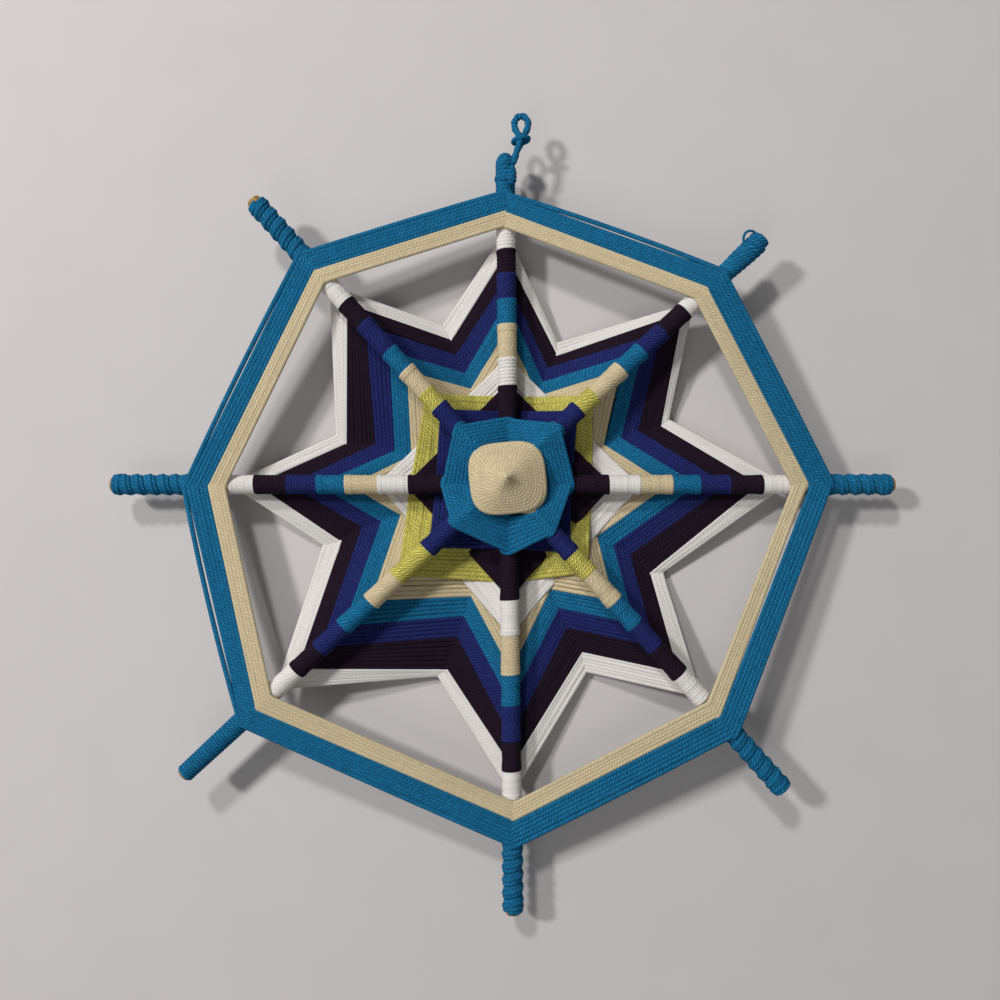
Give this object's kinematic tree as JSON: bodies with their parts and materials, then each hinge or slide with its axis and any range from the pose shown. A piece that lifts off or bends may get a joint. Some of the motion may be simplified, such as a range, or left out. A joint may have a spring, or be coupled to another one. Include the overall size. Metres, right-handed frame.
{
  "type": "ojo de dios",
  "caption": "Wall ornament of crossed wooden sticks wound with coloured yarn into a raised eye, squares, pointed stars and an octagonal edge, with a short cord loop to hang it by.",
  "frame": {"origin": "under the middle of the sticks and windings, on the surface that its back lies on", "axes": "+X to its right seen from the front, +Y to its top where the hanger is, +Z out of its front"},
  "size_m": [0.2656, 0.2715, 0.0298],
  "materials": {
    "wood": "plain turned dowel, unvarnished",
    "beige_yarn": "plied acrylic yarn, matt",
    "turquoise_yarn": "plied acrylic yarn, matt",
    "dark_blue_yarn": "plied acrylic yarn, matt",
    "dark_purple_yarn": "plied acrylic yarn, matt",
    "lime_yarn": "plied acrylic yarn, matt",
    "white_yarn": "plied acrylic yarn, matt"
  },
  "bodies": {
    "ornament": {"stick_horizontal": "wood", "stick_vertical": "wood", "stick_rising": "wood", "stick_falling": "wood", "square_dark_blue": "dark_blue_yarn", "square_dark_purple": "dark_purple_yarn", "square_lime": "lime_yarn", "square_white": "white_yarn", "star_beige": "beige_yarn", "star_turquoise": "turquoise_yarn", "star_dark_blue": "dark_blue_yarn", "star_dark_purple": "dark_purple_yarn", "star_white": "white_yarn", "eye_cone_beige": "beige_yarn", "eye_core": "beige_yarn", "eye_octagon_turquoise": "turquoise_yarn", "edge_beige": "beige_yarn", "edge_turquoise": "turquoise_yarn", "tip_wrap_right": "turquoise_yarn", "tip_wrap_upper_right": "turquoise_yarn", "tip_wrap_top": "turquoise_yarn", "tip_wrap_upper_left": "turquoise_yarn", "tip_wrap_left": "turquoise_yarn", "tip_wrap_lower_left": "turquoise_yarn", "tip_wrap_bottom": "turquoise_yarn", "tip_wrap_lower_right": "turquoise_yarn", "hanger_tie": "turquoise_yarn"},
    "hanger": {"hanger_stem": "turquoise_yarn", "hanger_end_knot": "turquoise_yarn", "hanger_loop": "turquoise_yarn"}
  },
  "joints": [
    {"name": "hanger_swing", "type": "hinge", "parent": "ornament", "child": "hanger", "pos_m": [0.00387, 0.12502, 0.01656], "axis": [1, 0, 0], "range_deg": [0, 120]}
  ]
}
